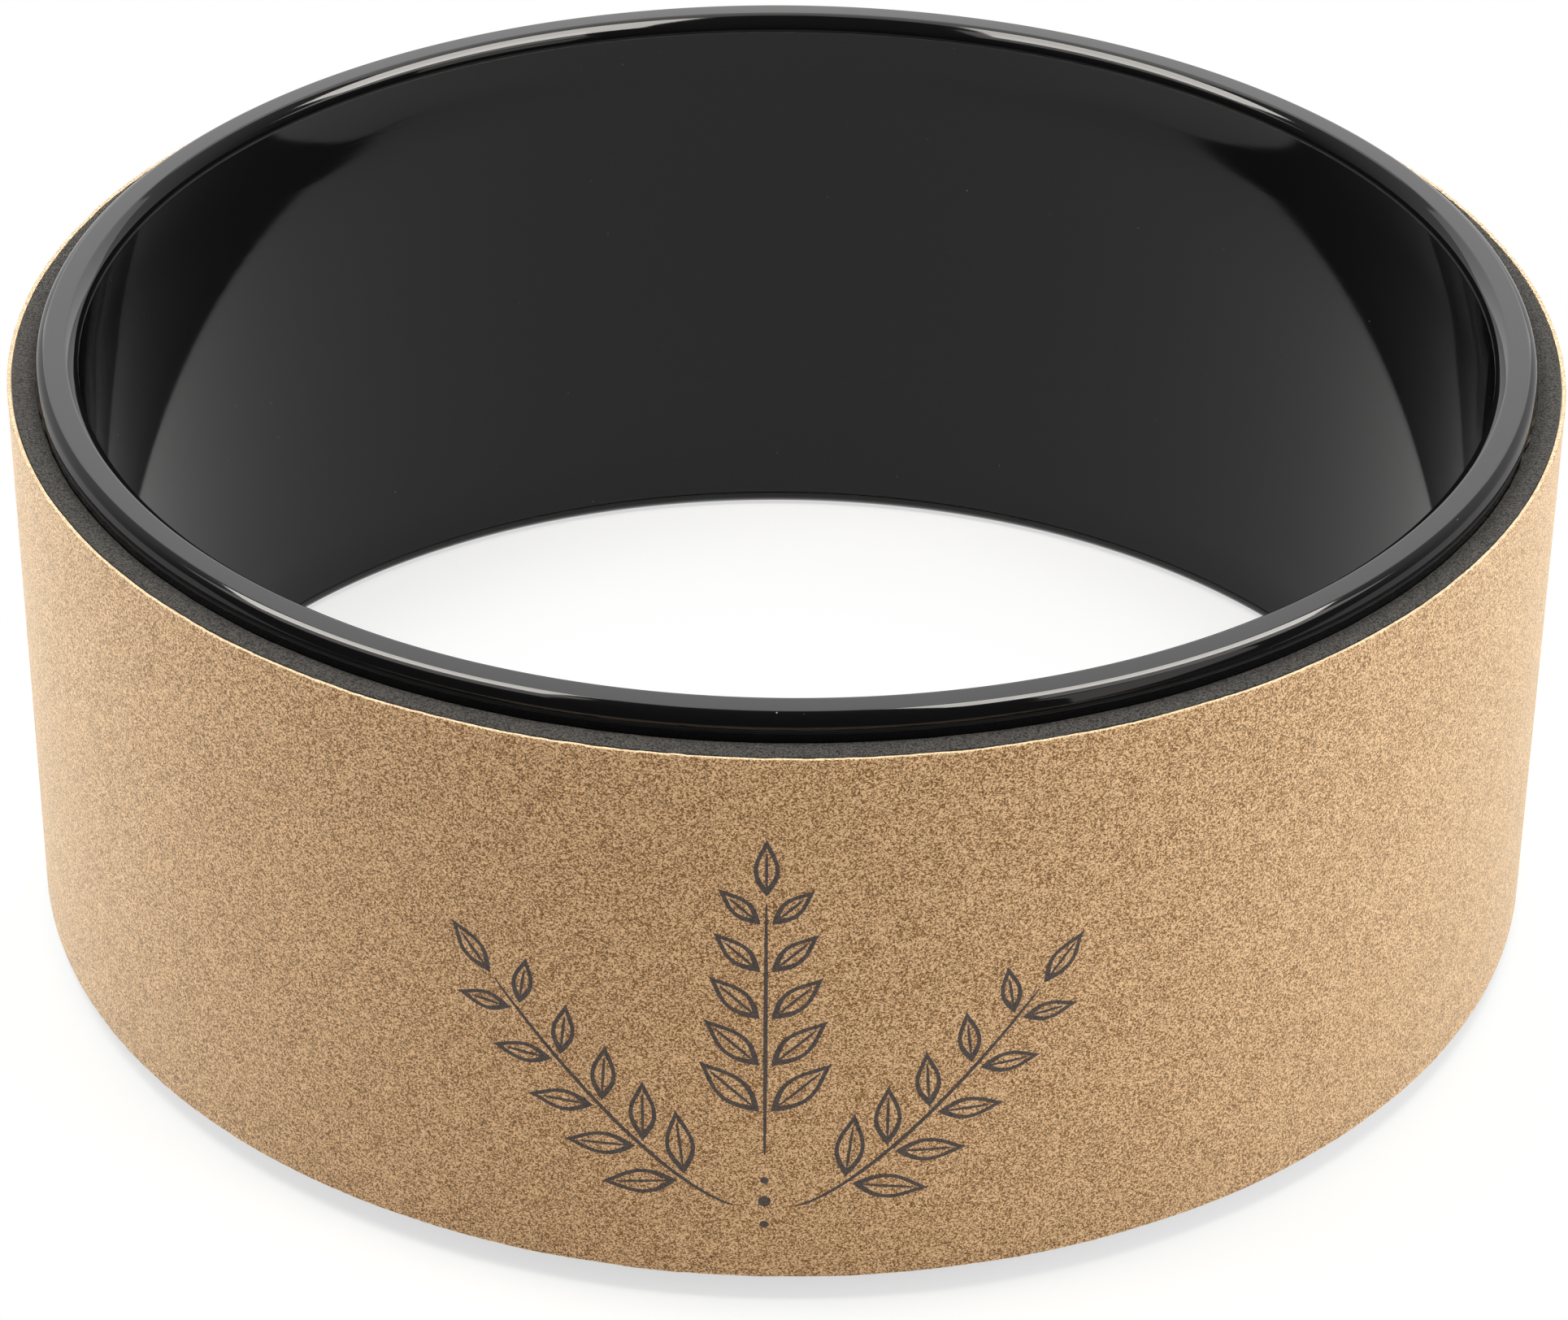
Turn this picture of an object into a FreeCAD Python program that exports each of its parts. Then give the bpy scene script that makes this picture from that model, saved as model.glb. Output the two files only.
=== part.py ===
import FreeCAD, Part
import math
import os
import Sketcher

# Yoga wheel: a hollow plastic core with a welded cap on each rim, a foam strip round it and a cork sheet on the foam.
# Millimetres. The wheel's axis is +Z and the origin is the wheel's centre, so it lies flat on its lower rim.

# Driving dimensions: name, value, what it measures
SIZES = [
    ("outer_diameter", 320.0, "across the cork"),
    ("wheel_width", 130.0, "from rim to rim"),
    ("rim_stand", 5.4, "how far each rim stands proud of the tread"),
    ("cork_thickness", 0.8, "cork sheet"),
    ("foam_thickness", 4.6, "foam strip"),
    ("film_thickness", 0.2, "each adhesive film"),
    ("film_setback", 1.0, "how far a film stops short of the tread's edges"),
    ("seam_gap", 0.3, "open butt joint where a wrapped strip meets itself"),
    ("seam_bearing", 90.0, "degrees from +X to the butt joint"),
    ("outer_wall", 3.0, "drum's wall under the foam"),
    ("cavity_width", 2.7, "space between the drum's two walls"),
    ("inner_wall", 3.0, "drum's wall round the hole"),
    ("web_thickness", 2.5, "ring that joins the two walls at mid width"),
    ("rib_count", 24, "ribs round the drum"),
    ("rib_thickness", 2.0, "each rib"),
    ("rib_gap", 0.5, "between a rib's end and the cap's tongue"),
    ("joint_bevel", 0.3, "bevel on the drum's ends, seen as the joint line"),
    ("cap_land", 0.7, "straight inner wall of a cap below its round"),
    ("inner_round", 2.8, "rounding of the rim towards the hole"),
    ("shoulder_inset", 2.0, "from the core's outside to the flat of the rim"),
    ("crease_radius", 0.6, "rounding between shoulder and flat"),
    ("tongue_depth", 4.0, "tongue of a cap, between the drum's walls"),
    ("tongue_clearance", 0.15, "on each side of the tongue"),
]

# Places that follow from those sizes: radii from the axis and heights above mid width
CORK_OUTER = "sizes.outer_diameter / 2"
CORK_INNER = f"({CORK_OUTER} - sizes.cork_thickness)"
FOAM_OUTER = f"({CORK_INNER} - sizes.film_thickness)"
FOAM_INNER = f"({FOAM_OUTER} - sizes.foam_thickness)"
CORE_OUTER = f"({FOAM_INNER} - sizes.film_thickness)"
CAVITY_OUTER = f"({CORE_OUTER} - sizes.outer_wall)"
CAVITY_INNER = f"({CAVITY_OUTER} - sizes.cavity_width)"
HOLE = f"({CAVITY_INNER} - sizes.inner_wall)"
RIM_TOP = "(sizes.wheel_width / 2)"
ROUND_START = f"({RIM_TOP} - sizes.inner_round)"
JOINT = f"({ROUND_START} - sizes.cap_land)"
TONGUE_END = f"({JOINT} - sizes.tongue_depth)"
CREASE = f"({CORE_OUTER} - sizes.shoulder_inset)"
TREAD_EDGE = f"({RIM_TOP} - sizes.rim_stand)"
FILM_EDGE = f"({TREAD_EDGE} - sizes.film_setback)"

ORIGIN_POINT = (-1, 1)
HORIZONTAL_AXIS = -1

doc = FreeCAD.newDocument("yoga_wheel")
sheet = doc.addObject("Spreadsheet::Sheet", "sizes")
for row, (name, value, meaning) in enumerate(SIZES, start=1):
    sheet.set(f"A{row}", meaning)
    sheet.set(f"B{row}", str(value))
    sheet.setAlias(f"B{row}", name)
doc.recompute()


def value_of(expression):
    return float(sheet.evalExpression(expression))


def new_body(name):
    body = doc.addObject("PartDesign::Body", name)
    body.Label = name
    return body


def arc_side(start, end, centre_height):
    """The short arc between two corners about a centre at the given height, and whether it runs from start to end."""
    start_rise = start.y - centre_height
    end_rise = end.y - centre_height
    squares = end.x**2 - start.x**2 + end_rise**2 - start_rise**2
    centre = FreeCAD.Vector(squares / (2 * (end.x - start.x)), centre_height, 0)
    start_angle = math.atan2(start_rise, start.x - centre.x)
    end_angle = math.atan2(end_rise, end.x - centre.x)
    circle = Part.Circle(centre, FreeCAD.Vector(0, 0, 1), start.distanceToPoint(centre))
    forward = (end_angle - start_angle) % (2 * math.pi) < math.pi
    if forward:
        return Part.ArcOfCircle(circle, start_angle, end_angle), True
    return Part.ArcOfCircle(circle, end_angle, start_angle), False


def outline(body, plane, corners, arc_centres=None, mirrored=False):
    """A closed sketch on one of the body's own planes. Each corner is held at its two distances from the origin.

    arc_centres gives, for the corner where a round side starts, the height of the arc's centre. A mirrored outline
    lists its upper corners only, and its lower corners are held symmetric to them.
    """
    arc_centres = arc_centres or {}
    support = next(feature for feature in body.Origin.OriginFeatures if feature.Role == plane)
    sketch = body.newObject("Sketcher::SketchObject", f"{body.Name}_outline")
    sketch.AttachmentSupport = [(support, "")]
    sketch.MapMode = "FlatFace"

    points = [FreeCAD.Vector(value_of(across), value_of(up), 0) for across, up in corners]
    if mirrored:
        points += [FreeCAD.Vector(point.x, -point.y, 0) for point in reversed(points)]
    count = len(points)
    ends = []
    for side, start in enumerate(points):
        end = points[(side + 1) % count]
        forward = True
        shape = Part.LineSegment(start, end)
        if side in arc_centres:
            shape, forward = arc_side(start, end, value_of(arc_centres[side]))
        sketch.addGeometry(shape, False)
        ends.append((1, 2) if forward else (2, 1))

    def hold(kind, side, position, expression):
        constraint = Sketcher.Constraint(kind, *ORIGIN_POINT, side, position, value_of(expression))
        index = sketch.addConstraint(constraint)
        sketch.setExpression(f"Constraints[{index}]", expression)

    for side in range(count):
        following = (side + 1) % count
        joined = (side, ends[side][1], following, ends[following][0])
        sketch.addConstraint(Sketcher.Constraint("Coincident", *joined))
    for side, (across, up) in enumerate(corners):
        hold("DistanceX", side, ends[side][0], across)
        hold("DistanceY", side, ends[side][0], up)
        if mirrored:
            opposite = count - 1 - side
            pair = (side, ends[side][0], opposite, ends[opposite][0])
            sketch.addConstraint(Sketcher.Constraint("Symmetric", *pair, HORIZONTAL_AXIS))
    for side, centre_height in arc_centres.items():
        hold("DistanceY", side, 3, centre_height)
    doc.recompute()
    return sketch


def turn(body, sketch):
    """Revolve an outline about the wheel's axis."""
    ring = body.newObject("PartDesign::Revolution", f"{body.Name}_ring")
    ring.Profile = sketch
    ring.ReferenceAxis = (sketch, ["V_Axis"])
    ring.Angle = 360
    return ring


def core_drum():
    """Two concentric walls, joined by a web at mid width and by ribs that stop short of the caps' tongues."""
    body = new_body("core_drum")
    bevel_start = f"({JOINT} - sizes.joint_bevel)"
    section = [
        (HOLE, bevel_start),
        (f"{HOLE} + sizes.joint_bevel", JOINT),
        (CAVITY_INNER, JOINT),
        (CAVITY_INNER, "sizes.web_thickness / 2"),
        (CAVITY_OUTER, "sizes.web_thickness / 2"),
        (CAVITY_OUTER, JOINT),
        (f"{CORE_OUTER} - sizes.joint_bevel", JOINT),
        (CORE_OUTER, bevel_start),
    ]
    turn(body, outline(body, "XZ_Plane", section, mirrored=True))

    # A rib's ends are buried in the middle of each wall
    rib_section = [
        (f"{CAVITY_INNER} - sizes.inner_wall / 2", "sizes.rib_thickness / 2"),
        (f"{CAVITY_OUTER} + sizes.outer_wall / 2", "sizes.rib_thickness / 2"),
    ]
    rib_sketch = outline(body, "XY_Plane", rib_section, mirrored=True)
    rib = body.newObject("PartDesign::Pad", "rib")
    rib.Profile = rib_sketch
    rib.SideType = "Symmetric"
    rib.setExpression("Length", f"2 * ({TONGUE_END} - sizes.rib_gap)")
    doc.recompute()

    ribs = body.newObject("PartDesign::PolarPattern", "ribs")
    ribs.Originals = [rib]
    ribs.Axis = (rib_sketch, ["N_Axis"])
    ribs.Angle = 360
    ribs.setExpression("Occurrences", "sizes.rib_count")
    body.Tip = ribs
    return body


def rim_cap(name):
    """Ring that closes one end of the drum. Its top is flat between a rounded shoulder and a round to the hole."""
    body = new_body(name)
    tongue_inner = f"({CAVITY_INNER} + sizes.tongue_clearance)"
    tongue_outer = f"({CAVITY_OUTER} - sizes.tongue_clearance)"
    section = [
        (HOLE, JOINT),
        (HOLE, ROUND_START),
        (f"{HOLE} + sizes.inner_round", RIM_TOP),
        (CREASE, RIM_TOP),
        (CORE_OUTER, JOINT),
        (tongue_outer, JOINT),
        (tongue_outer, TONGUE_END),
        (tongue_inner, TONGUE_END),
        (tongue_inner, JOINT),
    ]
    inner_round_side = 1
    shoulder_side = 3
    arc_centres = {inner_round_side: ROUND_START, shoulder_side: JOINT}
    ring = turn(body, outline(body, "XZ_Plane", section, arc_centres))
    doc.recompute()

    crease = FreeCAD.Vector(value_of(CREASE), 0, value_of(RIM_TOP))
    corner = Part.Vertex(crease)
    nearest = min(range(len(ring.Shape.Edges)), key=lambda index: ring.Shape.Edges[index].distToShape(corner)[0])
    softened = body.newObject("PartDesign::Fillet", f"{name}_crease")
    softened.Base = (ring, [f"Edge{nearest + 1}"])
    softened.setExpression("Radius", "sizes.crease_radius")
    body.Tip = softened
    return body


def turned_over(body):
    """Lay the same moulding the other way up, on the drum's lower end."""
    body.Placement = FreeCAD.Placement(FreeCAD.Vector(), FreeCAD.Rotation(FreeCAD.Vector(1, 0, 0), 180))
    return body


def wrapped_strip(name, inner, outer, edge):
    """A strip wrapped once round the wheel, whose two ends meet in an open butt joint."""
    body = new_body(name)
    section = [(inner, edge), (outer, edge)]
    ring = turn(body, outline(body, "XZ_Plane", section, mirrored=True))
    ring.Midplane = True
    ring.setExpression("Angle", f"360 - sizes.seam_gap / ({outer}) * 180 / pi")
    body.Placement = FreeCAD.Placement(FreeCAD.Vector(), FreeCAD.Rotation(FreeCAD.Vector(0, 0, 1), 0))
    body.setExpression("Placement.Rotation.Angle", "sizes.seam_bearing - 180")
    return body


pieces = [
    core_drum(),
    rim_cap("upper_rim_cap"),
    turned_over(rim_cap("lower_rim_cap")),
    wrapped_strip("foam_film", CORE_OUTER, FOAM_INNER, FILM_EDGE),
    wrapped_strip("foam_wrap", FOAM_INNER, FOAM_OUTER, TREAD_EDGE),
    wrapped_strip("cork_film", FOAM_OUTER, CORK_INNER, FILM_EDGE),
    wrapped_strip("cork_wrap", CORK_INNER, CORK_OUTER, TREAD_EDGE),
]
doc.recompute()

for item in doc.Objects:
    if "Invalid" in item.State or "Error" in item.State:
        raise RuntimeError(f"{item.Name} did not compute: {item.State}")
for piece in pieces:
    if piece.Shape.isNull() or not piece.Shape.isValid() or len(piece.Shape.Solids) != 1:
        raise RuntimeError(f"{piece.Label} is not one sound solid")

os.makedirs("parts", exist_ok=True)
for piece in pieces:
    piece.Shape.exportStep(f"parts/{piece.Label}.step")
    box = piece.Shape.BoundBox
    print(f"{piece.Label}: {piece.Shape.Volume / 1000:.2f} cm3, {box.XLength:.1f} x {box.YLength:.1f} x {box.ZLength:.1f}")
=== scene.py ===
# %% [markdown]
# # Dressing a cork yoga wheel
# A yoga wheel is a stiff plastic ring with a soft tread: foam is glued round the ring, and a thin sheet
# of cork is glued round the foam. The CAD model already holds every piece at its real size. This lesson
# gives the pieces their surfaces. It models the two soft layers again with the small unevenness that a
# cut sheet has, and the two rims again as finely turned rings, because a glossy edge shows every facet.
# The frame loads first, because the sizes below are read from it.

# %% Load the wheel
import math

import bmesh
import bpy
from mathutils import Matrix, Vector, noise


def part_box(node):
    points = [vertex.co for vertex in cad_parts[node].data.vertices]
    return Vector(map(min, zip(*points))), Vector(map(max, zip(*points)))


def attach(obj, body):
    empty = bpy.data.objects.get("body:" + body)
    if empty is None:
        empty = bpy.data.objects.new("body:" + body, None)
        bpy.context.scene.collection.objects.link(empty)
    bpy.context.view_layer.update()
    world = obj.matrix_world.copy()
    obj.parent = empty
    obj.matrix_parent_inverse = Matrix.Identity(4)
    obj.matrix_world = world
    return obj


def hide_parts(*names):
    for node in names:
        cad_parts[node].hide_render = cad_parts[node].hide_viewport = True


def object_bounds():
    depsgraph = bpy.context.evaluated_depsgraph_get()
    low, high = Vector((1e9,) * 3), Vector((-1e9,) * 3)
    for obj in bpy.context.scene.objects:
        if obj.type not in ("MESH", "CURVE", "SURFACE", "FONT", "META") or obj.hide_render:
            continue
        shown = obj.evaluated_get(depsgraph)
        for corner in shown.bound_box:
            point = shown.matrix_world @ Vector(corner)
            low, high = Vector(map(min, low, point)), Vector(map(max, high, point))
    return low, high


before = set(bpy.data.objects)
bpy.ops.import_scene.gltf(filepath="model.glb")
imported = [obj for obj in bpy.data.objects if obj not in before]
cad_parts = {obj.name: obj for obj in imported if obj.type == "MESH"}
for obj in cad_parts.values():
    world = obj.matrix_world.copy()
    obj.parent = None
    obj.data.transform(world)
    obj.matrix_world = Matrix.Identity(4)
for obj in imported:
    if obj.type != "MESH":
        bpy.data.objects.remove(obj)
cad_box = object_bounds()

mm = 0.001


def radii(node):
    """The least and greatest distance of a node's points from the wheel's axis."""
    distances = [math.hypot(v.co.x, v.co.y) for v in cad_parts[node].data.vertices]
    return min(distances), max(distances)


cork_inner, cork_outer = radii("cork_wrap")
foam_inner, foam_outer = radii("foam_wrap")
tread_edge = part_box("cork_wrap")[1].z
floor_level = cad_box[0].z
print(f"cork from radius {cork_inner / mm:.1f} to {cork_outer / mm:.1f} mm")
print(f"tread {2 * tread_edge / mm:.1f} mm wide")

# %% [markdown]
# ## The camera
# The wheel lies on its rim and is seen from above its front. The camera could be placed by eye, but a
# ring gives itself away: the ellipses of its rims fix the height and the distance of the lens quite
# sharply. A long lens about a metre away, thirty-one degrees up, gives the same ellipses as the picture.
# It looks slightly below the middle of the wheel and is turned by about half a degree.

# %% Camera
camera_distance = 1085.9 * mm
camera_elevation = math.radians(31.056)
camera_dip = math.radians(0.850)
camera_roll = math.radians(0.533)
focal_length = 116.99
sensor_width = 36.0

lens = bpy.data.cameras.new("lens")
lens.lens = focal_length
lens.sensor_width = sensor_width
camera = bpy.data.objects.new("camera", lens)
bpy.context.scene.collection.objects.link(camera)
bpy.context.scene.camera = camera
place = Vector((0, -math.cos(camera_elevation), math.sin(camera_elevation))) * camera_distance
tilt = Matrix.Rotation(math.pi / 2 - camera_elevation - camera_dip, 4, "X")
camera.matrix_world = Matrix.Translation(place) @ tilt @ Matrix.Rotation(camera_roll, 4, "Z")
bpy.context.scene.view_settings.view_transform = "Standard"
print(f"camera {camera_distance:.3f} m away, lens {lens.lens:.1f} mm")

# %% [markdown]
# ## Small helpers for node trees
# Each finish below is a tree of shader nodes. Built one call at a time, a tree takes many lines that all
# look the same: make a node, set its values, link its inputs. These helpers do the three at once, so that
# a finish reads like a recipe. Noise keeps mostly between 0.3 and 0.7, so those two are the ends that get
# stretched.

# %% Node helpers
usual_noise = (0.3, 0.7)


def add(tree, kind, inputs=None, **settings):
    """Puts a node in a tree. An input is given a number or colour, or is linked if it is given a socket."""
    made = tree.nodes.new(kind)
    for name, value in settings.items():
        setattr(made, name, value)
    for key, value in (inputs or {}).items():
        if isinstance(value, bpy.types.NodeSocket):
            tree.links.new(value, made.inputs[key])
        else:
            made.inputs[key].default_value = value
    return made


def maths(tree, operation, a, b=0.0):
    return add(tree, "ShaderNodeMath", {0: a, 1: b}, operation=operation).outputs[0]


def spread(tree, value, low, high, to_low=0.0, to_high=1.0):
    """Stretches low..high to to_low..to_high, with soft ends."""
    inputs = {"Value": value, "From Min": low, "From Max": high, "To Min": to_low, "To Max": to_high}
    return add(tree, "ShaderNodeMapRange", inputs, interpolation_type="SMOOTHSTEP").outputs["Result"]


def mix(tree, share, a, b):
    """Colour a, with a share of colour b in it."""
    return add(tree, "ShaderNodeMix", {0: share, 6: a, 7: b}, data_type="RGBA").outputs[2]


def speckle(tree, where, size):
    """Noise whose lumps are about this size."""
    inputs = {"Vector": where, "Scale": 1 / size, "Detail": 3.0, "Roughness": 0.6}
    return add(tree, "ShaderNodeTexNoise", inputs).outputs["Fac"]


def scattered(tree, where, spacing):
    """Voronoi cells: the distance to the nearest cell's middle, and three random numbers for that cell."""
    cells = add(tree, "ShaderNodeTexVoronoi", {"Vector": where, "Scale": 1 / spacing})
    luck = add(tree, "ShaderNodeSeparateColor", {0: cells.outputs["Color"]})
    return cells.outputs["Distance"], luck.outputs


def new_group(name, inputs, outputs):
    """An empty node group with named sockets. Returns its tree, its inputs as sockets and its output node."""
    tree = bpy.data.node_groups.new(name, "ShaderNodeTree")
    for direction, sockets in (("INPUT", inputs), ("OUTPUT", outputs)):
        for label, kind in sockets.items():
            tree.interface.new_socket(label, in_out=direction, socket_type=f"NodeSocket{kind}")
    return tree, tree.nodes.new("NodeGroupInput").outputs, tree.nodes.new("NodeGroupOutput")


def new_material(name):
    """A material with one Principled shader. Returns it, its tree and the shader."""
    material = bpy.data.materials.new(name)
    material.use_nodes = True
    return material, material.node_tree, material.node_tree.nodes["Principled BSDF"]


def bump(tree, shader, height, depth):
    """Lets a height of 0 to 1 stand for a relief of this depth."""
    made = add(tree, "ShaderNodeBump", {"Height": height, "Distance": depth, "Strength": 1.0})
    tree.links.new(made.outputs["Normal"], shader.inputs["Normal"])


print("node helpers ready")

# %% [markdown]
# ## Cork grain
# Sheet cork is pressed from ground cork and a binder, then sliced thin. Close up it is a mosaic of grains
# about a quarter of a millimetre across, some pale and some toasted, with scattered dark bits of bark and
# tiny pits between them. An image could show that, but it would repeat round the wheel. Voronoi cells in
# space are a better stand-in for grains, because the sheet's surface cuts through them as the knife cuts
# through the pressed block. The sheet, its cut edge and the ink on it all need the same grain, so it is a
# group.

# %% Cork grain group
grain, given, result = new_group(
    "Cork grain",
    {"Pale": "Color", "Toasted": "Color", "Bark": "Color"},
    {"Colour": "Color", "Bits": "Float", "Height": "Float"},
)
grain_size = 0.24 * mm
bend_size = 0.3 * mm
bend_reach = 0.25 * mm
speck_size = 0.15 * mm
patch_size = 5 * mm
bit_spacing = 0.9 * mm
grain_weight, speck_weight, patch_weight = 0.7, 0.3, 0.03
toasted_below, pale_above = 0.28, 0.72
dark_from, dark_full, dark_strength = 0.86, 0.97, 0.55
bits_above, largest_bit, bit_softness, bit_strength = 0.5, 0.27, 0.06, 0.85
tone_height, bit_depth = 0.7, 0.5
middle_grey = (0.5, 0.5, 0.5)
where = add(grain, "ShaderNodeTexCoord").outputs["Object"]
shift = add(grain, "ShaderNodeTexNoise", {"Vector": where, "Scale": 1 / bend_size, "Detail": 1.0})
centred = {0: shift.outputs["Color"], 1: middle_grey}
push = add(grain, "ShaderNodeVectorMath", centred, operation="SUBTRACT")
push = add(grain, "ShaderNodeVectorMath", {0: push.outputs[0], "Scale": bend_reach}, operation="SCALE")
bent = add(grain, "ShaderNodeVectorMath", {0: where, 1: push.outputs[0]}, operation="ADD").outputs[0]

_, grain_luck = scattered(grain, bent, grain_size)
fine = speckle(grain, where, speck_size)
broad = speckle(grain, where, patch_size)
tone = maths(grain, "MULTIPLY", grain_luck[0], grain_weight)
tone = maths(grain, "ADD", tone, spread(grain, fine, *usual_noise, 0.0, speck_weight))
tone = maths(grain, "ADD", tone, spread(grain, broad, *usual_noise, -patch_weight, patch_weight))
paleness = spread(grain, tone, toasted_below, pale_above)
colour = mix(grain, paleness, given["Toasted"], given["Pale"])
dark_grains = spread(grain, grain_luck[1], dark_from, dark_full, 0.0, dark_strength)
colour = mix(grain, dark_grains, colour, given["Bark"])

bit_distance, bit_luck = scattered(grain, bent, bit_spacing)
bit_reach = spread(grain, bit_luck[1], bits_above, 1.0, 0.0, largest_bit)
bit_mask = spread(grain, maths(grain, "SUBTRACT", bit_reach, bit_distance), 0.0, bit_softness)
colour = mix(grain, maths(grain, "MULTIPLY", bit_mask, bit_strength), colour, given["Bark"])

grain_height = maths(grain, "MULTIPLY", tone, tone_height)
pit_depth = maths(grain, "MULTIPLY", bit_mask, bit_depth)
height = maths(grain, "SUBTRACT", grain_height, pit_depth)
grain.links.new(colour, result.inputs["Colour"])
grain.links.new(bit_mask, result.inputs["Bits"])
grain.links.new(height, result.inputs["Height"])


def grained(tree, pale, toasted, bark):
    """Places the grain in a material with its own three colours, and returns its outputs."""
    made = add(tree, "ShaderNodeGroup", node_tree=grain)
    for label, value in (("Pale", pale), ("Toasted", toasted), ("Bark", bark)):
        made.inputs[label].default_value = (*value, 1)
    return made.outputs


print(f"cork grain: {len(grain.nodes)} nodes, grains of {grain_size / mm} mm")

# %% [markdown]
# ## Cork, face and cut edge
# The face is dull and warm. The cut edge is a different surface: the knife leaves it paler and a little
# furry, and it shows as a thin cream line round the tread. So the sheet gets two materials, both fed by
# the grain.

# %% Cork materials
face_relief = 0.05 * mm
cut_relief = 0.08 * mm
face_roughness, bit_roughness = 0.68, 0.9

cork_face, tree, shader = new_material("cork_face")
sheet = grained(tree, pale=(0.70, 0.450, 0.250), toasted=(0.165, 0.062, 0.001), bark=(0.04, 0.013, 0.002))
tree.links.new(sheet["Colour"], shader.inputs["Base Color"])
roughness = spread(tree, sheet["Bits"], 0.0, 1.0, face_roughness, bit_roughness)
tree.links.new(roughness, shader.inputs["Roughness"])
shader.inputs["Specular IOR Level"].default_value = 0.2
shader.inputs["Sheen Weight"].default_value = 0.35
shader.inputs["Sheen Roughness"].default_value = 0.5
shader.inputs["Sheen Tint"].default_value = (1.0, 0.97, 0.86, 1)
bump(tree, shader, sheet["Height"], face_relief)

cork_cut, tree, shader = new_material("cork_cut_edge")
cut = grained(tree, pale=(0.78, 0.62, 0.42), toasted=(0.50, 0.34, 0.19), bark=(0.25, 0.15, 0.08))
tree.links.new(cut["Colour"], shader.inputs["Base Color"])
shader.inputs["Roughness"].default_value = 0.9
bump(tree, shader, cut["Height"], cut_relief)
print("cork materials:", cork_face.name, cork_cut.name)

# %% [markdown]
# ## A strip wrapped once round the ring
# Foam and cork are both cut as long strips and wrapped once, so their ends meet in a straight butt joint,
# here at the back. A plain cylinder would be a quick stand-in, but it has no joint and its edges are too
# perfect. This builder carries a small section round the ring step by step, closes both ends, and lets
# the two cut edges wander a few hundredths or tenths of a millimetre, as a knife does. Each strip has a
# gap of its own between its ends: cork leaves a hairline, while foam is pressed together until no light
# comes through.

# %% Strip builder
seam_bearing = math.pi / 2
sharp_angle = math.radians(35)


def new_piece(name, points, faces):
    """A closed mesh with its faces turned outwards, riding on the wheel."""
    mesh = bpy.data.meshes.new(name)
    mesh.from_pydata(points, [], faces)
    shape = bmesh.new()
    shape.from_mesh(mesh)
    bmesh.ops.recalc_face_normals(shape, faces=shape.faces)
    shape.to_mesh(mesh)
    shape.free()
    mesh.shade_smooth()
    mesh.set_sharp_from_angle(angle=sharp_angle)
    piece = bpy.data.objects.new(name, mesh)
    bpy.context.scene.collection.objects.link(piece)
    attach(piece, "root")
    return piece


def wander(angle, radius, lump, seed):
    """A smooth random value from about -1 to 1 that changes over each lump's length round the ring."""
    turns = radius / lump
    return noise.noise(Vector((math.cos(angle) * turns, math.sin(angle) * turns, seed)))


def wrap(name, section, steps, gap, edge_shift):
    """Carries a section of (radius, height) points round the ring.

    gap is the space between the strip's ends, and edge_shift(angle, height) moves its cut edges.
    """
    half_gap = gap / 2 / max(radius for radius, _ in section)
    start = seam_bearing + half_gap
    step = (2 * math.pi - 2 * half_gap) / steps
    points = []
    for i in range(steps + 1):
        angle = start + i * step
        for radius, height in section:
            level = height + edge_shift(angle, height)
            points.append((radius * math.cos(angle), radius * math.sin(angle), level))
    count = len(section)
    faces = []
    for i in range(steps):
        for j in range(count):
            a, b = i * count + j, i * count + (j + 1) % count
            faces.append((a, a + count, b + count, b))
    faces.append(tuple(range(count)))
    faces.append(tuple(steps * count + j for j in reversed(range(count))))
    return new_piece(name, points, faces)


print("strip builder ready")

# %% [markdown]
# ## The cork sheet
# The sheet is under a millimetre thick. Its edges were cut by a blade: they run true over a few
# centimetres, but grains tear out along them, more in some stretches than in others. Two sizes of
# unevenness give that: a slow drift, and small nicks whose depth itself comes and goes. The cut falls
# away a little towards the foam, because no blade goes quite straight through a springy layer.

# %% Cork sheet
cork_steps = 1800
cork_corner = 0.12 * mm
cork_drop = 0.3 * mm
cut_slant = 0.1 * mm
cork_gap = 0.3 * mm
drift_reach, drift_length = 0.16 * mm, 14 * mm
nick_depth, nick_length, small_nick_length = 0.2 * mm, 2.6 * mm, 1.2 * mm
small_nick_share = 0.6
stretch_length = 60 * mm
mean_roughness, roughness_change = 0.55, 0.45
least_upward = 0.75


def cork_edge(angle, height):
    """How far the blade strayed: the last number of each wander only picks another random line."""
    side = math.copysign(1.0, height)
    drift = drift_reach * wander(angle, cork_outer, drift_length, 3 + side)
    roughness = mean_roughness + roughness_change * wander(angle, cork_outer, stretch_length, 7 + side)
    nicks = wander(angle, cork_outer, nick_length, 11 + side)
    nicks += small_nick_share * wander(angle, cork_outer, small_nick_length, 15 + side)
    return drift + nick_depth * roughness * nicks - cork_drop * side


low, high = -tread_edge, tread_edge
cork_section = [
    (cork_inner, low + cut_slant),
    (cork_outer - cork_corner, low),
    (cork_outer, low + cork_corner),
    (cork_outer, high - cork_corner),
    (cork_outer - cork_corner, high),
    (cork_inner, high - cut_slant),
]
cork_sheet = wrap("cork_sheet", cork_section, cork_steps, cork_gap, cork_edge)
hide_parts("cork_wrap")
cork_sheet.data.materials.append(cork_face)
cork_sheet.data.materials.append(cork_cut)
for face in cork_sheet.data.polygons:
    flat_cut = abs(face.normal.z) > least_upward
    face.material_index = 1 if flat_cut else 0
print(f"cork sheet: {len(cork_sheet.data.polygons)} faces")

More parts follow.
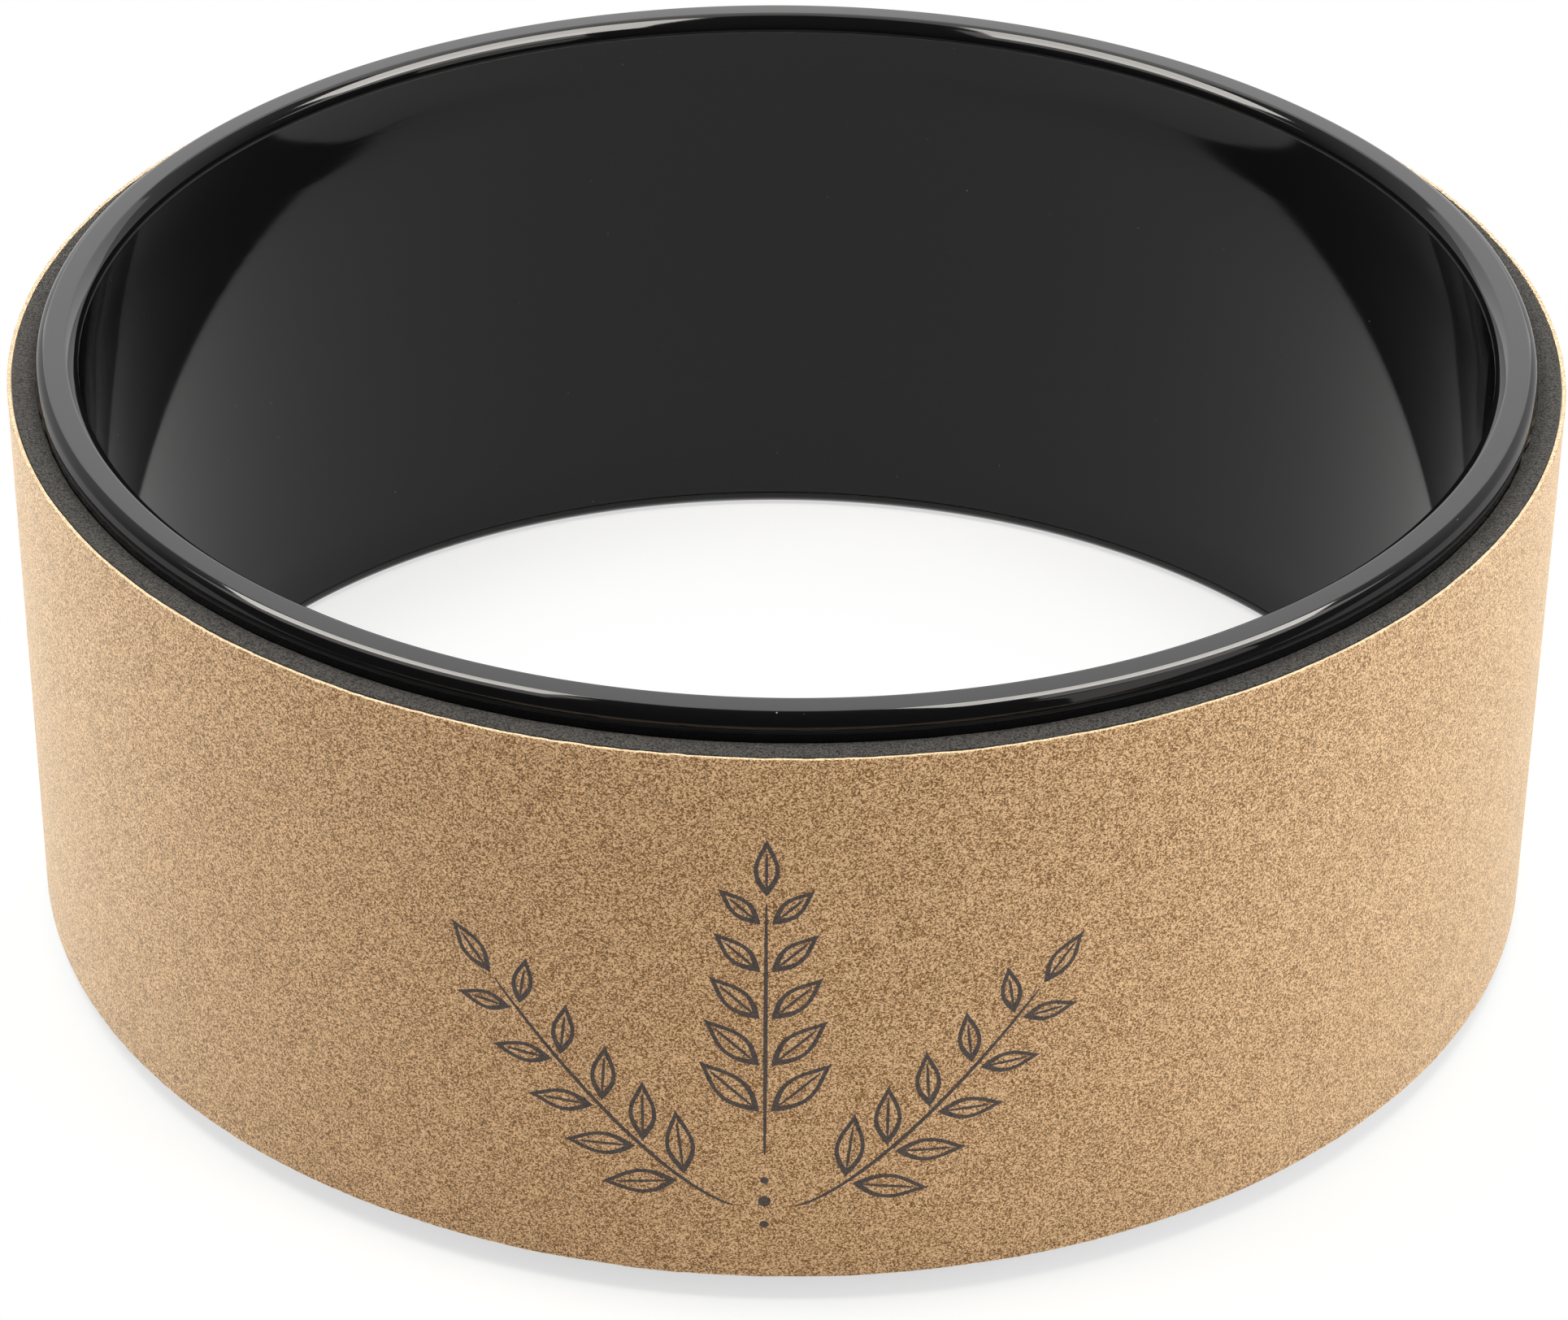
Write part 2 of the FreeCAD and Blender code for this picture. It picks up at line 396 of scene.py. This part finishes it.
# %% [markdown]
# The grain is very fine for such a long sheet. When the finish is stored as a square picture, an ordinary
# unwrapping would leave most of the square empty and blur it. So the sheet brings its own map: the face,
# with its cut edges, is folded into three rows that fill nearly the whole square, and the back, which is
# never seen, gets a narrow strip at the top.

# %% Map for the cork
map_rows = 3
row_height = 0.315
edge_height = 0.005
corner_height = 0.001
back_strip = (0.955, 0.975)
end_strip = (0.985, 0.995)
row_gap = 0.004
end_width = 0.45

row_steps = cork_steps // map_rows
section_points = len(cork_section)
back_corners = (0, section_points - 1)
face_height = row_height - 2 * (edge_height + corner_height) - row_gap
climbs = (0.0, edge_height, corner_height, face_height, corner_height, edge_height)
levels = [sum(climbs[: j + 1]) for j in range(section_points)]
cork_map = cork_sheet.data.uv_layers.new(name="OFBake").uv
for face in cork_sheet.data.polygons:
    spots = [divmod(index, section_points) for index in face.vertices]
    first = min(i for i, _ in spots)
    is_end = len(spots) == section_points
    is_back = {j for _, j in spots} == set(back_corners)
    for loop, (i, j) in zip(face.loop_indices, spots):
        row = first // row_steps
        if is_end:
            half = 0.5 if i else 0.0
            side = 0 if j in back_corners else 1
            cork_map[loop].vector = (half + levels[j] / row_height * end_width, end_strip[side])
        elif is_back:
            cork_map[loop].vector = (i / cork_steps, back_strip[0 if j == 0 else 1])
        else:
            cork_map[loop].vector = ((i - row * row_steps) / row_steps, row * row_height + levels[j])
print(f"cork map: {map_rows} rows of {row_steps} steps")

# %% [markdown]
# ## Foam
# Under the cork lies a few millimetres of dark grey foam. Only its cut edge shows, a band between the rim
# and the cork. Cut foam is dead matt and full of tiny opened cells, so its surface is a fine Voronoi
# relief. Each cell also gets a random darkness of its own, on top of a fine mottle. That darkness is
# painted shade, standing for cells that lie deeper than others. The edge of the strip is slightly rounded,
# because foam gives under the knife. Past the end of the glue it swells a little towards the core and
# closes the gap there.

# %% Foam strip
pore_size = 0.24 * mm
pore_relief = 0.06 * mm
mottle_size = 0.4 * mm
pore_weight, mottle_weight = 0.9, 0.5
dark_below, pale_from = 0.15, 1.25
least_roughness, most_roughness = 0.84, 0.96
darkest_foam = (0.010, 0.0095, 0.009, 1)
palest_foam = (0.076, 0.071, 0.067, 1)

foam_cut, tree, shader = new_material("foam")
where = add(tree, "ShaderNodeTexCoord").outputs["Object"]
pores, pore_luck = scattered(tree, where, pore_size)
mottle = speckle(tree, where, mottle_size)
# Painted shade: each cell's random darkness stands for the shade inside the deeper pores.
painted_pore_shade = maths(tree, "MULTIPLY", pore_luck[0], pore_weight)
shade = maths(tree, "ADD", painted_pore_shade, maths(tree, "MULTIPLY", mottle, mottle_weight))
shade = spread(tree, shade, dark_below, pale_from)
foam_colour = mix(tree, shade, darkest_foam, palest_foam)
tree.links.new(foam_colour, shader.inputs["Base Color"])
dullness = spread(tree, mottle, *usual_noise, least_roughness, most_roughness)
tree.links.new(dullness, shader.inputs["Roughness"])
shader.inputs["Specular IOR Level"].default_value = 0.1
bump(tree, shader, pores, pore_relief)

foam_steps = 900
foam_gap = 0.01 * mm
foam_corner = 0.2 * mm
corner_cut = 0.3 * foam_corner
foam_drop = 0.25 * mm
lip = 0.15 * mm
lip_depth = 0.8 * mm
wave_reach, wave_length = 0.1 * mm, 9 * mm


def foam_edge(angle, height):
    """Foam is cut with slow waves and no nicks."""
    side = math.copysign(1.0, height)
    return wave_reach * wander(angle, foam_outer, wave_length, 21 + side) - foam_drop * side


foam_section = [
    (foam_inner, low + lip_depth),
    (foam_inner - lip, low + lip_depth - lip),
    (foam_inner - lip, low + foam_corner),
    (foam_inner - lip + corner_cut, low + corner_cut),
    (foam_inner - lip + foam_corner, low),
    (foam_outer - foam_corner, low),
    (foam_outer - corner_cut, low + corner_cut),
    (foam_outer, low + foam_corner),
]
foam_section += [(radius, -height) for radius, height in reversed(foam_section)]
foam_strip = wrap("foam_strip", foam_section, foam_steps, foam_gap, foam_edge)
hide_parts("foam_wrap")
foam_strip.data.materials.append(foam_cut)
print(f"foam strip: {len(foam_strip.data.polygons)} faces")

# %% [markdown]
# ## Marks that run round the ring
# Moulded and turned surfaces, and anything wiped with a cloth, carry faint lines along the ring. To draw
# them, the surface is described by its angle, its height and its distance from the axis, and noise is
# stretched along the angle. The black core and the glue films both use it, so it is a group too.

# %% Ring marks group
breaks_per_radian = 2.5
line_from, line_full = 0.45, 0.75
marks, given, result = new_group("Ring marks", {"Line Width": "Float"}, {"Lines": "Float"})
where = add(marks, "ShaderNodeTexCoord").outputs["Object"]
axis = add(marks, "ShaderNodeSeparateXYZ", {0: where}).outputs
angle = maths(marks, "ARCTAN2", axis["X"], maths(marks, "MULTIPLY", axis["Y"], -1.0))
along = maths(marks, "MULTIPLY", angle, breaks_per_radian)
flat = add(marks, "ShaderNodeCombineXYZ", {0: axis["X"], 1: axis["Y"]}).outputs[0]
reach = add(marks, "ShaderNodeVectorMath", {0: flat}, operation="LENGTH").outputs["Value"]
across = maths(marks, "DIVIDE", reach, given["Line Width"])
upright = maths(marks, "DIVIDE", axis["Z"], given["Line Width"])
stretched = add(marks, "ShaderNodeCombineXYZ", {0: along, 1: across, 2: upright}).outputs[0]
lines = add(marks, "ShaderNodeTexNoise", {"Vector": stretched, "Scale": 1.0, "Detail": 2.0})
marks.links.new(spread(marks, lines.outputs["Fac"], line_from, line_full), result.inputs["Lines"])


def ring_lines(tree, line_width):
    """Places the ring marks in a material, with lines of this width."""
    made = add(tree, "ShaderNodeGroup", node_tree=marks)
    made.inputs["Line Width"].default_value = line_width
    return made.outputs["Lines"]


print(f"ring marks: {len(marks.nodes)} nodes")

# %% [markdown]
# ## Gloss black plastic
# The core is moulded in black plastic with a piano finish. Black gloss is mostly reflection, so its
# colour matters less than its roughness: nearly a mirror, but faintly hazed, with rubbed lines and a few
# specks of dust that catch the light. Where the caps are welded on, the melted plastic leaves a fine dull
# line. The drum keeps its CAD shape, because its walls are plain cylinders. But no moulded wall is quite
# straight: near each joint it first flares by a few hundredths of a millimetre and then leans in by half
# a millimetre. A mirror shows that at once, because the dark patch that it reflects there comes away from
# the rim. The relief is too small to be worth a mesh, so it is a bump.

# %% Core plastic
black = (0.004, 0.004, 0.0045, 1)
dust_grey = (0.12, 0.115, 0.11, 1)
rub_width = 0.25 * mm
rub_relief = 0.0008
haze_size = 30 * mm
clear_gloss, hazed_gloss = 0.04, 0.055
rub_dulling, dust_dulling, weld_dulling = 0.03, 0.4, 0.6
dust_spacing = 2.4 * mm
dusty_above, largest_dust, dust_softness = 0.9, 0.09, 0.04
weld_core, weld_edge = 0.25 * mm, 0.4 * mm
wave_size, wave_height = 40 * mm, 1.5 * mm
smooth_noise = (0.2, 0.8)
lean_start = 10 * mm
flare_start, flare_end = 18 * mm, 9 * mm
flare_depth = 0.1
wall_end = 0.02 * mm
wall_relief = 0.58 * mm

core_plastic, tree, shader = new_material("core_gloss_black")
where = add(tree, "ShaderNodeTexCoord").outputs["Object"]
rubbed = ring_lines(tree, rub_width)
haze = speckle(tree, where, haze_size)
dust_distance, dust_luck = scattered(tree, where, dust_spacing)
dust_reach = spread(tree, dust_luck[2], dusty_above, 1.0, 0.0, largest_dust)
dust = spread(tree, maths(tree, "SUBTRACT", dust_reach, dust_distance), 0.0, dust_softness)
tree.links.new(mix(tree, dust, black, dust_grey), shader.inputs["Base Color"])
gloss = spread(tree, haze, *usual_noise, clear_gloss, hazed_gloss)
gloss = maths(tree, "ADD", gloss, maths(tree, "MULTIPLY", rubbed, rub_dulling))
gloss = maths(tree, "ADD", gloss, maths(tree, "MULTIPLY", dust, dust_dulling))
joint_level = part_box("core_drum")[1].z
height = maths(tree, "ABSOLUTE", add(tree, "ShaderNodeSeparateXYZ", {0: where}).outputs["Z"])
off_joint = maths(tree, "ABSOLUTE", maths(tree, "SUBTRACT", height, joint_level))
weld = spread(tree, off_joint, weld_core, weld_edge, weld_dulling, 0.0)
tree.links.new(maths(tree, "ADD", gloss, weld), shader.inputs["Roughness"])
shader.inputs["IOR"].default_value = 1.34
slow = add(tree, "ShaderNodeTexNoise", {"Vector": where, "Scale": 1 / wave_size, "Detail": 0.0})
wave = spread(tree, slow.outputs["Fac"], *smooth_noise, -wave_height, wave_height)
wavy = maths(tree, "ADD", height, wave)
lean = maths(tree, "DIVIDE", maths(tree, "SUBTRACT", wavy, joint_level - lean_start), lean_start)
lean = maths(tree, "POWER", maths(tree, "MAXIMUM", lean, 0.0), 2.0)
flare = spread(tree, wavy, joint_level - flare_start, joint_level - flare_end, 0.0, -flare_depth)
lean = maths(tree, "ADD", lean, flare)
on_wall = spread(tree, height, joint_level - wall_end, joint_level, 1.0, 0.0)
rub_height = maths(tree, "MULTIPLY", rubbed, rub_relief)
relief = maths(tree, "ADD", rub_height, maths(tree, "MULTIPLY", lean, on_wall))
bump(tree, shader, relief, wall_relief)
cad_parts["core_drum"].material_slots[0].material = core_plastic
print("core plastic on the drum")

# %% [markdown]
# ## The rims
# Each end of the drum is closed by a moulded cap: a ring with a rounded bevel on the inside, a narrow
# flat on top and a shoulder that falls away to the joint line. A tongue under it locates it in the drum.
# The caps could keep their CAD mesh, but its triangles would break up the long reflections that make a
# rim look polished. So the section is turned round the axis in a thousand steps. It is drawn as a chain
# of arcs, each of which starts where the one before it ends and heads the same way, so no reflection
# breaks where two arcs meet.

# %% Turned rims
hole_radius, rim_radius = radii("upper_rim_cap")
rim_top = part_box("upper_rim_cap")[1].z
joint_bevel = 0.06 * mm
tongue_walls = (148.65 * mm, 151.05 * mm)
tongue_depth = 4.0 * mm
flat_inner, flat_outer = 148.2 * mm, 151.93 * mm
rim_steps = 1000
arc_step = 2.5
least_arc_points = 3


def follow(line, radius, start, end, count):
    """Carries a line on round an arc.

    Angles in degrees are those of the surface from level, positive if it falls outwards.
    """
    turn = math.radians(start)
    middle = [line[-1][0] - radius * math.sin(turn), line[-1][1] - radius * math.cos(turn)]
    for i in range(1, count + 1):
        turn = math.radians(start + (end - start) * i / count)
        line.append((middle[0] + radius * math.sin(turn), middle[1] + radius * math.cos(turn)))


def rim_side(start, arcs):
    """A line from the flat's edge, over arcs of (radius, end angle), each tangent to the one before."""
    line, turn = [(start, rim_top)], 0.0
    for radius, end in arcs:
        count = max(least_arc_points, round(abs(end - turn) / arc_step))
        follow(line, radius, turn, end, count)
        turn = end
    return line


bevel = ((1.0 * mm, -33), (8.0 * mm, -47), (2.4 * mm, -76))
inside = rim_side(flat_inner, bevel)
shoulder = ((1.0 * mm, 26), (6.0 * mm, 32), (2.2 * mm, 68), (30.0 * mm, 70), (0.1 * mm, 90))
outside = rim_side(flat_outer, shoulder)
for label, line in (("inside", inside), ("outside", outside)):
    print(f"{label} ends {line[-1][0] / mm:.2f} mm from the axis, {line[-1][1] / mm:.2f} mm up")


def rim_section():
    """The cap's outline: up the inside, over the top, down the shoulder and round the tongue."""
    tongue_low = joint_level - tongue_depth
    tongue = [(tongue_walls[1], joint_level), (tongue_walls[1], tongue_low)]
    tongue += [(tongue_walls[0], tongue_low), (tongue_walls[0], joint_level)]
    inner_joint = [(hole_radius + joint_bevel, joint_level), (hole_radius, joint_level + joint_bevel)]
    outer_joint = [(rim_radius, joint_level + joint_bevel), (rim_radius - joint_bevel, joint_level)]
    return inner_joint + inside[::-1] + outside + outer_joint + tongue


def turned(name, section, steps):
    """Turns a closed section of (radius, height) points once round the axis."""
    points, faces, count = [], [], len(section)
    for i in range(steps):
        angle = 2 * math.pi * i / steps
        points += [(radius * math.cos(angle), radius * math.sin(angle), height) for radius, height in section]
        here, there = i * count, (i + 1) % steps * count
        for j in range(count):
            k = (j + 1) % count
            faces.append((here + j, there + j, there + k, here + k))
    return new_piece(name, points, faces)


upper_section = rim_section()
lower_section = [(radius, -height) for radius, height in upper_section]
for name, section, node in (
    ("upper_rim", upper_section, "upper_rim_cap"),
    ("lower_rim", lower_section, "lower_rim_cap"),
):
    rim = turned(name, section, rim_steps)
    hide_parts(node)
    rim.data.materials.append(core_plastic)
    print(f"{name}: {len(rim.data.polygons)} faces")

# %% [markdown]
# ## Glue films
# Foam and cork are held by films of contact glue. They end a millimetre inside the tread's edges, so next
# to nothing of them shows, but a view straight into the joint should not meet a bare surface. A
# yellowish, slightly shiny film with the lines of the roller that pressed it is enough.

# %% Glue films
roller_width = 0.6 * mm
dull_glue = (0.50, 0.43, 0.28, 1)
pale_glue = (0.66, 0.59, 0.42, 1)
smooth_roughness, rolled_roughness = 0.3, 0.5

glue, tree, shader = new_material("glue_film")
rolled = ring_lines(tree, roller_width)
tree.links.new(mix(tree, rolled, dull_glue, pale_glue), shader.inputs["Base Color"])
roughness = spread(tree, rolled, 0.0, 1.0, smooth_roughness, rolled_roughness)
tree.links.new(roughness, shader.inputs["Roughness"])
for node in ("foam_film", "cork_film"):
    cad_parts[node].material_slots[0].material = glue
print("glue films dressed")

# %% [markdown]
# ## The printed ornament
# The front of the tread carries a line drawing in dark brown. Here it is three leafy sprigs that rise
# from one base. It could be a mask in the cork's material, but lines this thin would blur when the
# material is turned into a texture. So the ink is a mesh of its own: flat outlines are drawn in
# millimetres, then laid on the cork's curve. It stands a few hundredths of a millimetre proud of the cork
# and reaches a little way into it. Its edges tremble slightly, because ink runs into the grain.

# %% Drawing on the cork
print_middle = -2.8
ink_rise = 0.035 * mm
ink_root = 0.2 * mm
tremble = 0.05
tremble_rate = 1.7
across_seed, up_seed = 31, 37
fine_end = 0.35
dot_sides = 20
dot_core = 0.04
ink_points = []
ink_faces = []


def on_cork(across, up, lift):
    """The point of the tread's front this many millimetres across and up, raised by lift metres."""
    across += tremble * noise.noise(Vector((across * tremble_rate, up * tremble_rate, across_seed)))
    up += tremble * noise.noise(Vector((across * tremble_rate, up * tremble_rate, up_seed)))
    angle = (across + print_middle) * mm / cork_outer
    radius = cork_outer + lift
    return radius * math.sin(angle), -radius * math.cos(angle), up * mm


def ink_band(first, second, closed):
    """Fills the strip between two lines of as many points with a closed film of ink."""
    base, count = len(ink_points), len(first)
    for lift in (ink_rise, -ink_root):
        for line in (first, second):
            ink_points.extend(on_cork(across, up, lift) for across, up in line)
    top_a, top_b, low_a, low_b = (base + k * count for k in range(4))
    for i in range(count if closed else count - 1):
        k = (i + 1) % count
        ink_faces.append((top_a + i, top_a + k, top_b + k, top_b + i))
        ink_faces.append((low_a + i, low_b + i, low_b + k, low_a + k))
        ink_faces.append((top_a + i, low_a + i, low_a + k, top_a + k))
        ink_faces.append((top_b + i, top_b + k, low_b + k, low_b + i))
    if not closed:
        for i in (0, count - 1):
            ink_faces.append((top_a + i, top_b + i, low_b + i, low_a + i))


def stroke(line, width):
    """A pen stroke along a line, which swells from a fine start to this width and ends fine again."""
    left, right = [], []
    for i, (across, up) in enumerate(line):
        before, after = line[max(i - 1, 0)], line[min(i + 1, len(line) - 1)]
        run, rise = after[0] - before[0], after[1] - before[1]
        length = math.hypot(run, rise)
        share = i / (len(line) - 1)
        half = width / 2 * (fine_end + (1 - fine_end) * math.sin(math.pi * share) ** 0.5)
        left.append((across - rise / length * half, up + run / length * half))
        right.append((across + rise / length * half, up - run / length * half))
    ink_band(left, right, closed=False)


def dot(across, up, radius):
    """A round dot, filled by a ring whose inner line is a tiny circle."""
    turns = [2 * math.pi * i / dot_sides for i in range(dot_sides)]
    outer, inner = (
        [(across + size * math.cos(turn), up + size * math.sin(turn)) for turn in turns]
        for size in (radius, radius * dot_core)
    )
    ink_band(outer, inner, closed=True)


print("ink tools ready")

# %% [markdown]
# A leaf is a closed outline, broad below its middle and pointed at both ends, with one vein. The line's
# width is kept by drawing a second, smaller leaf inside the first and filling what lies between them.

# %% Leaves
line_width = 0.8
vein_width = 0.75 * line_width
tip_gap = 2.4 * line_width
vein_trim = 2.6 * tip_gap
leaf_slimness = 0.38
belly_low, tip_fine = 0.85, 1.15
leaf_steps = 16
vein_steps = 8


def leaf_line(length, width, start):
    """One round of a leaf's outline, along its own axis: up one side to the tip and back down the other."""
    shares = [i / leaf_steps for i in range(leaf_steps + 1)]
    half = [width / 2 * math.sin(math.pi * share**belly_low) ** tip_fine for share in shares]
    left = [(start + length * share, size) for share, size in zip(shares, half)]
    right = [(along, -size) for along, size in reversed(left[1:-1])]
    return left + right


def leaf(root, heading, length):
    """Draws a leaf from its root, pointing along heading."""
    width = leaf_slimness * length
    cos, sin = math.cos(heading), math.sin(heading)

    def laid(line):
        return [(root[0] + cos * a - sin * b, root[1] + sin * a + cos * b) for a, b in line]

    outer = leaf_line(length, width, 0.0)
    inner = leaf_line(length - 2 * tip_gap, width - 2 * line_width, tip_gap)
    ink_band(laid(outer), laid(inner), closed=True)
    vein_length = length - vein_trim
    vein = [(tip_gap + vein_length * i / vein_steps, 0.0) for i in range(vein_steps + 1)]
    stroke(laid(vein), vein_width)


print("leaf pen ready")

# %% [markdown]
# A sprig is a stem with leaves in pairs that grow smaller towards its tip, and one leaf at the end. One
# stands upright in the middle. The other two lean out to the sides and are each other's mirror image.

# %% Three sprigs
stem_gap = 1.5
stem_steps = 40
opening = math.radians(46)
last_pair = 0.9
end_leaf = 1.15
nearby = 0.01
upright_foot, upright_height = -30.0, 58.0
side_foot = (6.0, -42.0)
side_run, side_rise, side_curve = 46.0, 46.0, 1.35
dots = ((-36.0, 0.8), (-41.0, 1.2), (-46.5, 0.8))


def sprig(stem, pairs, first_share, longest, shortest):
    """Draws a sprig along stem(share), a function from 0 at the foot to 1 at the tip."""
    stroke([stem(i / stem_steps) for i in range(stem_steps + 1)], line_width)

    def leaf_at(share, turn, length):
        (x0, y0), (x1, y1) = stem(share - nearby), stem(share + nearby)
        heading = math.atan2(y1 - y0, x1 - x0) + turn
        across, up = stem(share)
        root = (across + stem_gap * math.cos(heading), up + stem_gap * math.sin(heading))
        leaf(root, heading, length)

    for pair in range(pairs):
        done = pair / (pairs - 1)
        share = first_share + (last_pair - first_share) * done
        for turn in (opening, -opening):
            leaf_at(share, turn, longest + (shortest - longest) * done)
    leaf_at(1.0, 0.0, shortest * end_leaf)


def upright_stem(share):
    """The millimetres across and up at a share of the stem's length."""
    return 0.0, upright_foot + upright_height * share


def leaning_stem(share):
    return side_foot[0] + side_run * share, side_foot[1] + side_rise * share**side_curve


def mirrored_stem(share):
    across, up = leaning_stem(share)
    return -across, up


sprig(upright_stem, pairs=5, first_share=0.16, longest=16.0, shortest=11.0)
for stem in (leaning_stem, mirrored_stem):
    sprig(stem, pairs=5, first_share=0.2, longest=15.0, shortest=11.0)
for up, radius in dots:
    dot(0.0, up, radius)
print(f"ornament: {len(ink_faces)} faces")

# %% [markdown]
# The ink sinks into the cork, so the grain shows through it: pale grains stay a little lighter and bark
# bits are lost in it. The grain group is used once more, with dark colours.

# %% Ink
ink_relief = 0.05 * mm
ink_roughness, lost_bit_roughness = 0.62, 0.85

ink, tree, shader = new_material("brown_ink")
under = grained(tree, pale=(0.075, 0.050, 0.040), toasted=(0.030, 0.019, 0.016), bark=(0.016, 0.010, 0.009))
tree.links.new(under["Colour"], shader.inputs["Base Color"])
roughness = spread(tree, under["Bits"], 0.0, 1.0, ink_roughness, lost_bit_roughness)
tree.links.new(roughness, shader.inputs["Roughness"])
bump(tree, shader, under["Height"], ink_relief)
printed_sprigs = new_piece("printed_sprigs", ink_points, ink_faces)
printed_sprigs.data.materials.append(ink)
print(f"printed sprigs: {len(printed_sprigs.data.vertices)} points")

# %% [markdown]
# ## Floor
# The wheel lies on white paper. Seen by the camera or in a reflection, the paper is plain white, so that
# the background is even whatever the lamps do. Only within a few centimetres of where the wheel stands
# does the light that really falls on the paper count too, so its soft shadow shows there and ties the
# wheel to the ground. The rim meets the paper 165 mm from the wheel's middle, measured aslant.

# %% Paper floor
paper_reach = 30.0
paper_sides = 64
near_white = 0.64
shadow_reach = 0.06
stand_reach = 0.165
paper_mesh = bpy.data.meshes.new("paper_floor")
rim_turns = [2 * math.pi * i / paper_sides for i in range(paper_sides)]
paper_mesh.from_pydata(
    [(paper_reach * math.cos(turn), paper_reach * math.sin(turn), floor_level) for turn in rim_turns],
    [],
    [tuple(range(paper_sides))],
)
paper_floor = bpy.data.objects.new("paper_floor", paper_mesh)
bpy.context.scene.collection.objects.link(paper_floor)

paper, tree, shader = new_material("white_paper")
shader.inputs["Base Color"].default_value = (0.85, 0.85, 0.85, 1)
shader.inputs["Roughness"].default_value = 1.0
shader.inputs["Specular IOR Level"].default_value = 0.0
spot = add(tree, "ShaderNodeNewGeometry").outputs["Position"]
far = add(tree, "ShaderNodeVectorMath", {0: spot}, operation="LENGTH").outputs["Value"]
off_wheel = maths(tree, "ABSOLUTE", maths(tree, "SUBTRACT", far, stand_reach))
whiteness = spread(tree, off_wheel, 0.0, shadow_reach, near_white, 1.0)
path = add(tree, "ShaderNodeLightPath").outputs
seen = maths(tree, "MAXIMUM", path["Is Camera Ray"], path["Is Glossy Ray"])
white = add(tree, "ShaderNodeEmission", {"Color": (1, 1, 1, 1), "Strength": 1.0}).outputs[0]
share = maths(tree, "MULTIPLY", whiteness, seen)
both = add(tree, "ShaderNodeMixShader", {0: share, 1: shader.outputs[0], 2: white})
tree.links.new(both.outputs[0], tree.nodes["Material Output"].inputs["Surface"])
paper_mesh.materials.append(paper)
print("paper floor at", floor_level)

# %% [markdown]
# ## Light
# A matt thing and a glossy thing want different lamps. The cork and the foam only care how much light
# falls on them: two large panels light the sides of the tread more than its front, a weak fill on each
# side reaches round to the front, and two small boxes overhead light the foam and the floor. The black
# plastic only shows pictures of the lamps. So the lamps that would give a confusing picture are hidden
# from reflections, and only the right fill and a panel at the back, which the flat of the rim mirrors,
# count for both. A second set, hung level over the wheel, is seen in reflections alone: two bright strips
# draw the streaks along the rim, two dim broad ones lay a grey sheen below them, and one lies over the
# back. The room is dark behind the camera, so the rim's shoulder stays nearly black there.

# %% Lamps and room
dark_room, bright_room = 0.05, 1.0
dark_until, bright_from = -0.1, 0.8

world = bpy.data.worlds.new("studio")
bpy.context.scene.world = world
world.use_nodes = True
tree = world.node_tree
way = add(tree, "ShaderNodeTexCoord").outputs["Generated"]
depth = add(tree, "ShaderNodeSeparateXYZ", {0: way}).outputs["Y"]
level = spread(tree, depth, dark_until, bright_from, dark_room, bright_room)
tree.links.new(level, tree.nodes["Background"].inputs["Strength"])
tree.nodes["Background"].inputs["Color"].default_value = (1, 1, 1, 1)


def soft_box(name, direction, distance, width, height, brightness, colour):
    """An area lamp that faces the wheel. Brightness is the radiance of its face, 1 being paper white."""
    lamp = bpy.data.lights.new(name, "AREA")
    lamp.shape = "RECTANGLE"
    lamp.size = width
    lamp.size_y = height
    lamp.energy = brightness * math.pi * width * height
    lamp.color = colour
    holder = bpy.data.objects.new(name, lamp)
    bpy.context.scene.collection.objects.link(holder)
    aim = Vector(direction).normalized()
    holder.location = aim * distance
    holder.rotation_euler = aim.to_track_quat("Z", "Y").to_euler()
    return holder


warm, neutral, cool = (1.0, 0.97, 0.91), (1.0, 1.0, 1.0), (0.92, 1.0, 0.98)
# Name, direction, distance, width, height, brightness and colour
for lamp in (
    soft_box("left_panel", (-0.88, 0.25, 0.27), 1.3, 1.5, 1.0, 2.8, cool),
    soft_box("right_panel", (0.94, -0.12, 0.27), 1.3, 1.5, 1.0, 3.55, cool),
    soft_box("left_fill", (-0.75, -0.59, 0.36), 1.4, 0.7, 0.7, 1.3, warm),
    soft_box("left_box", (-0.42, -0.05, 0.906), 1.1, 0.5, 0.38, 13.0, warm),
    soft_box("right_box", (0.285, -0.10, 0.953), 1.1, 0.5, 0.33, 13.0, warm),
):
    lamp.visible_glossy = False
soft_box("right_fill", (0.75, -0.59, 0.36), 1.4, 0.7, 0.7, 1.9, warm)
soft_box("back_panel", (0.0, 0.89, 0.45), 1.8, 2.4, 0.9, 1.4, neutral)


def shine_strip(name, middle, length, width, turn, brightness):
    """A lamp that hangs level at this place and only shows in reflections."""
    strip = soft_box(name, middle, 1.0, length, width, brightness, warm)
    # Its own place and turn take the place of the aim at the wheel
    strip.location = middle
    strip.rotation_euler = (0, 0, math.radians(turn))
    strip.visible_diffuse = False


# Name, middle, length, width, turn in degrees and brightness
shine_strip("left_strip", (-0.54, 0.09, 0.95), 0.64, 0.36, -30, 20.0)
shine_strip("right_strip", (0.49, 0.04, 0.95), 0.72, 0.36, 30, 21.0)
shine_strip("left_halo", (-0.92, -0.22, 1.0), 1.1, 0.8, -28, 3.2)
shine_strip("right_halo", (1.0, -0.25, 1.0), 1.1, 0.9, 28, 4.2)
shine_strip("top_strip", (0.0, 0.5, 0.95), 0.9, 0.9, 0, 3.0)
